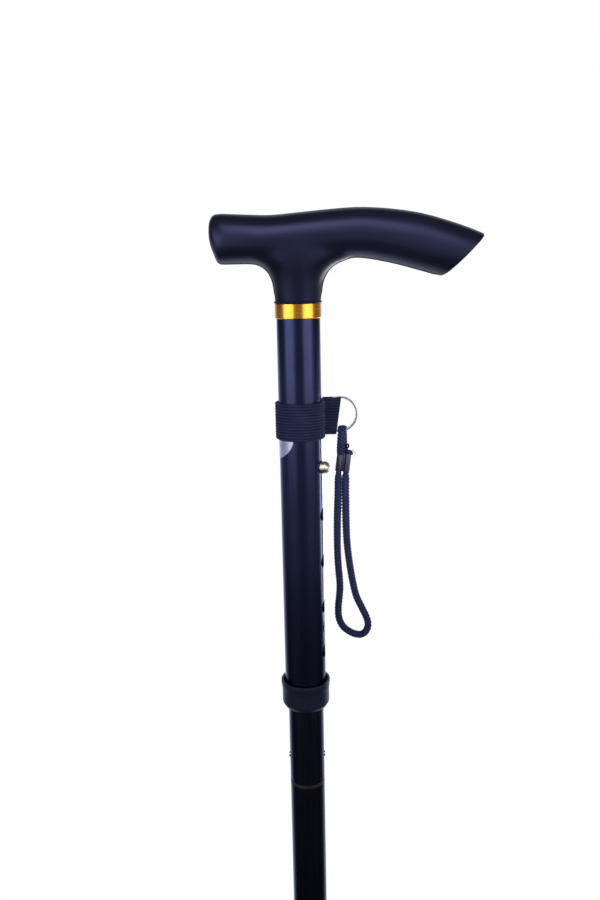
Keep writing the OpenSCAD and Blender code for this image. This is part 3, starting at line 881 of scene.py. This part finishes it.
def build_knot(name, z, body):
    """Overhand knot of the elastic cord round its pin."""
    turns = np.linspace(0, 2 * np.pi, 121)
    line = np.stack([
        1.1 * (np.sin(turns) + 1.6 * np.sin(2 * turns)), 1.1 * (np.cos(turns) - 1.6 * np.cos(2 * turns)),
        z - 1.3 * np.sin(3 * turns),
    ], axis=1)
    knot = new_piece(name, *tube_along(line, 1.15, 20), shock_mat)
    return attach(knot, body)


build_knot("shock_knot_top", PIN_HIGH, "inner")
build_knot("shock_knot_low", PIN_LOW, "section_4")


# Leaf spring: a steel copy of the CAD spring, its free leg under the button and the other leg against the
# tube

def build_leaf():
    leaf = bpy.data.objects.new("leaf_spring", nodes["button_spring"].data.copy())
    leaf.data.materials.clear()
    leaf.data.materials.append(steel_mat)
    scene.collection.objects.link(leaf)
    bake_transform(leaf)
    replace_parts(leaf, "button_spring")


build_leaf()


# Rubber tip with a rounded foot, a waist and rings

def build_tip():
    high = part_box("rubber_tip")[1]
    h, foot, bore, floor, axis = high.z / MM, high.x / MM, 9.55, 7.5, 0.001
    outline = [
        (axis, 0.9, 0.1), (5.6, 0.9, 0.2), (6.2, 0, 0.3), (7.3, 0, 0.3), (7.9, 0.9, 0.2), (9.6, 0.9, 0.2),
        (10.2, 0, 0.3), (11.6, 0, 0.3), (12.2, 0.9, 0.2), (12.9, 0.9, 0.2), (13.4, 0, 0.2),
        (foot, 0, 1.1), (foot, 9, 1.6), (12.3, 16.5, 4),
        (12.2, 20, 0.4), (12.75, 20.6, 0.4), (12.75, 21.6, 0.4), (12.2, 22.2, 0.4),
        (12.2, 24.6, 0.4), (12.75, 25.2, 0.4), (12.75, 26.2, 0.4), (12.2, 26.8, 0.4),
        (12.2, h - 8, 0.8), (12.95, h - 7, 0.7), (12.95, h, 0.9), (bore, h, 0.5), (bore, floor, 0.2),
        (axis, floor, 0.1),
    ]
    return new_piece("rubber_ferrule", *lathe(rounded(outline, 0.4, 4), 144), rubber_mat)


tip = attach(build_tip(), "section_4")
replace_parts(tip, "rubber_tip")


# Stage

# Tint of the studio as gloss shows it
COOL = (0.78, 0.81, 1.0, 1)


def build_floor():
    """Pale floor that keeps the shadow near the object and is plain white further out."""
    around, radius = 96, 9
    turns = 2 * np.pi * np.arange(around) / around
    rim = radius / MM * np.stack([np.cos(turns), np.sin(turns), 0 * turns], axis=1) - np.array((0, 0, 0.3))
    floor = new_piece("floor", rim, [tuple(range(around))])
    look = Look("pale_floor", (0.75, 0.75, 0.75), 1.0, Specular_IOR_Level=0.0)
    path = look.add("ShaderNodeLightPath").outputs
    # What gloss shows: bright behind the object and further out, dim near it
    reach = look.add("ShaderNodeVectorMath", look.place, operation="LENGTH").outputs["Value"]
    way = look.add("ShaderNodeVectorMath", look.place, operation="NORMALIZE").outputs["Vector"]
    behind = look.add("ShaderNodeSeparateXYZ", way).outputs["Y"]
    behind = look.ramp(behind, 0.25, 0.9, way="SMOOTHSTEP")
    front = look.ramp(reach, 1.5, 2.3, 0.02, 0.42, "SMOOTHSTEP")
    mirrored = look.add("ShaderNodeEmission", COOL, look.math("MAXIMUM", front, behind)).outputs[0]
    # What the camera sees: a floor with the shadow near the object, white further out
    glow = look.add("ShaderNodeEmission", None, 0.7).outputs[0]
    matte = look.add("ShaderNodeBsdfDiffuse", (0.3, 0.3, 0.3, 1)).outputs[0]
    near = look.add("ShaderNodeAddShader", glow, matte).outputs[0]
    white = look.add("ShaderNodeEmission").outputs[0]
    far = look.ramp(reach, 0.15, 0.55, way="SMOOTHSTEP")
    seen = look.add("ShaderNodeMixShader", far, near, white).outputs[0]
    lit = look.shader.outputs[0]
    shiny = look.math("MAXIMUM", path["Is Glossy Ray"], path["Is Transmission Ray"])
    lit = look.add("ShaderNodeMixShader", shiny, lit, mirrored).outputs[0]
    lit = look.add("ShaderNodeMixShader", path["Is Camera Ray"], lit, seen).outputs[0]
    look.put(look.tree.nodes["Material Output"].inputs["Surface"], lit)
    floor.data.materials.append(look.mat)


def build_world():
    """White behind the object, dim in front of it, and an even fill."""
    world = bpy.data.worlds.new("studio")
    scene.world = world
    world.use_nodes = True
    tree = world.node_tree
    add, link = tree.nodes.new, tree.links.new
    background = tree.nodes["Background"]
    path = add("ShaderNodeLightPath")
    place = add("ShaderNodeTexCoord")
    axes = add("ShaderNodeSeparateXYZ")
    link(place.outputs["Generated"], axes.inputs[0])
    behind = add("ShaderNodeMapRange")
    behind.interpolation_type = "SMOOTHSTEP"
    behind.inputs["From Min"].default_value = 0.6
    behind.inputs["From Max"].default_value = 0.9
    behind.inputs["To Min"].default_value = 0.1
    behind.inputs["To Max"].default_value = 1.0
    link(axes.outputs["Y"], behind.inputs["Value"])
    shiny = add("ShaderNodeMath")
    shiny.operation = "MAXIMUM"
    link(path.outputs["Is Glossy Ray"], shiny.inputs[0])
    link(path.outputs["Is Transmission Ray"], shiny.inputs[1])
    first = add("ShaderNodeMix")
    first.inputs["A"].default_value = 0.2
    link(shiny.outputs[0], first.inputs["Factor"])
    link(behind.outputs[0], first.inputs["B"])
    last = add("ShaderNodeMix")
    last.inputs["B"].default_value = 1.0
    link(path.outputs["Is Camera Ray"], last.inputs["Factor"])
    link(first.outputs[0], last.inputs["A"])
    link(last.outputs[0], background.inputs["Strength"])
    shade = add("ShaderNodeMix")
    shade.data_type = "RGBA"
    shade.inputs[6].default_value = (1, 1, 1, 1)
    shade.inputs[7].default_value = COOL
    link(shiny.outputs[0], shade.inputs["Factor"])
    link(shade.outputs[2], background.inputs["Color"])


def softbox(name, place, target, wide, tall, radiance):
    """An area lamp that faces a target."""
    light = bpy.data.lights.new(name, "AREA")
    light.shape = "RECTANGLE"
    light.size, light.size_y = wide, tall
    light.energy = radiance * math.pi * wide * tall
    lamp = bpy.data.objects.new(name, light)
    lamp.location = place
    lamp.rotation_euler = (Vector(target) - Vector(place)).to_track_quat("-Z", "Y").to_euler()
    lamp.visible_camera = False
    scene.collection.objects.link(lamp)


build_floor()
build_world()
softbox("softbox_left", (-0.95, -0.8, 0.8), (0, 0, 0.8), 1.15, 0.5, 2.7)
softbox("softbox_right", (0.95, -0.8, 0.8), (0, 0, 0.8), 1.15, 0.5, 2.6)
softbox("softbox_top", (0, -1.07, 1.52), (0, 0, 0.82), 1.0, 0.66, 3.7)
softbox("softbox_back", (0.76, 0.98, 0.3), (0, 0, 0.6), 1.35, 0.4, 3.6)

# Camera: 870 px of focal length in a frame of 600 by 900, 12 degrees down, with a slight roll
FOCAL_PX, LONG_PX, SENSOR_MM = 870, 900, 36
PITCH, ROLL = math.radians(12), math.radians(1.2)
AIM = Vector((-0.0005, 0, 0.7144))
DISTANCE = 0.45
lens = bpy.data.cameras.new("camera")
lens.sensor_width = SENSOR_MM
lens.lens = SENSOR_MM * FOCAL_PX / LONG_PX
lens.clip_start, lens.clip_end = 0.01, 50
camera = bpy.data.objects.new("camera", lens)
look_way = Vector((0, math.cos(PITCH), -math.sin(PITCH)))
camera.matrix_world = (
    Matrix.Translation(AIM - DISTANCE * look_way)
    @ Matrix.Rotation(math.pi / 2 - PITCH, 4, "X") @ Matrix.Rotation(-ROLL, 4, "Z")
)
scene.collection.objects.link(camera)
scene.camera = camera
scene.view_settings.view_transform = "Standard"
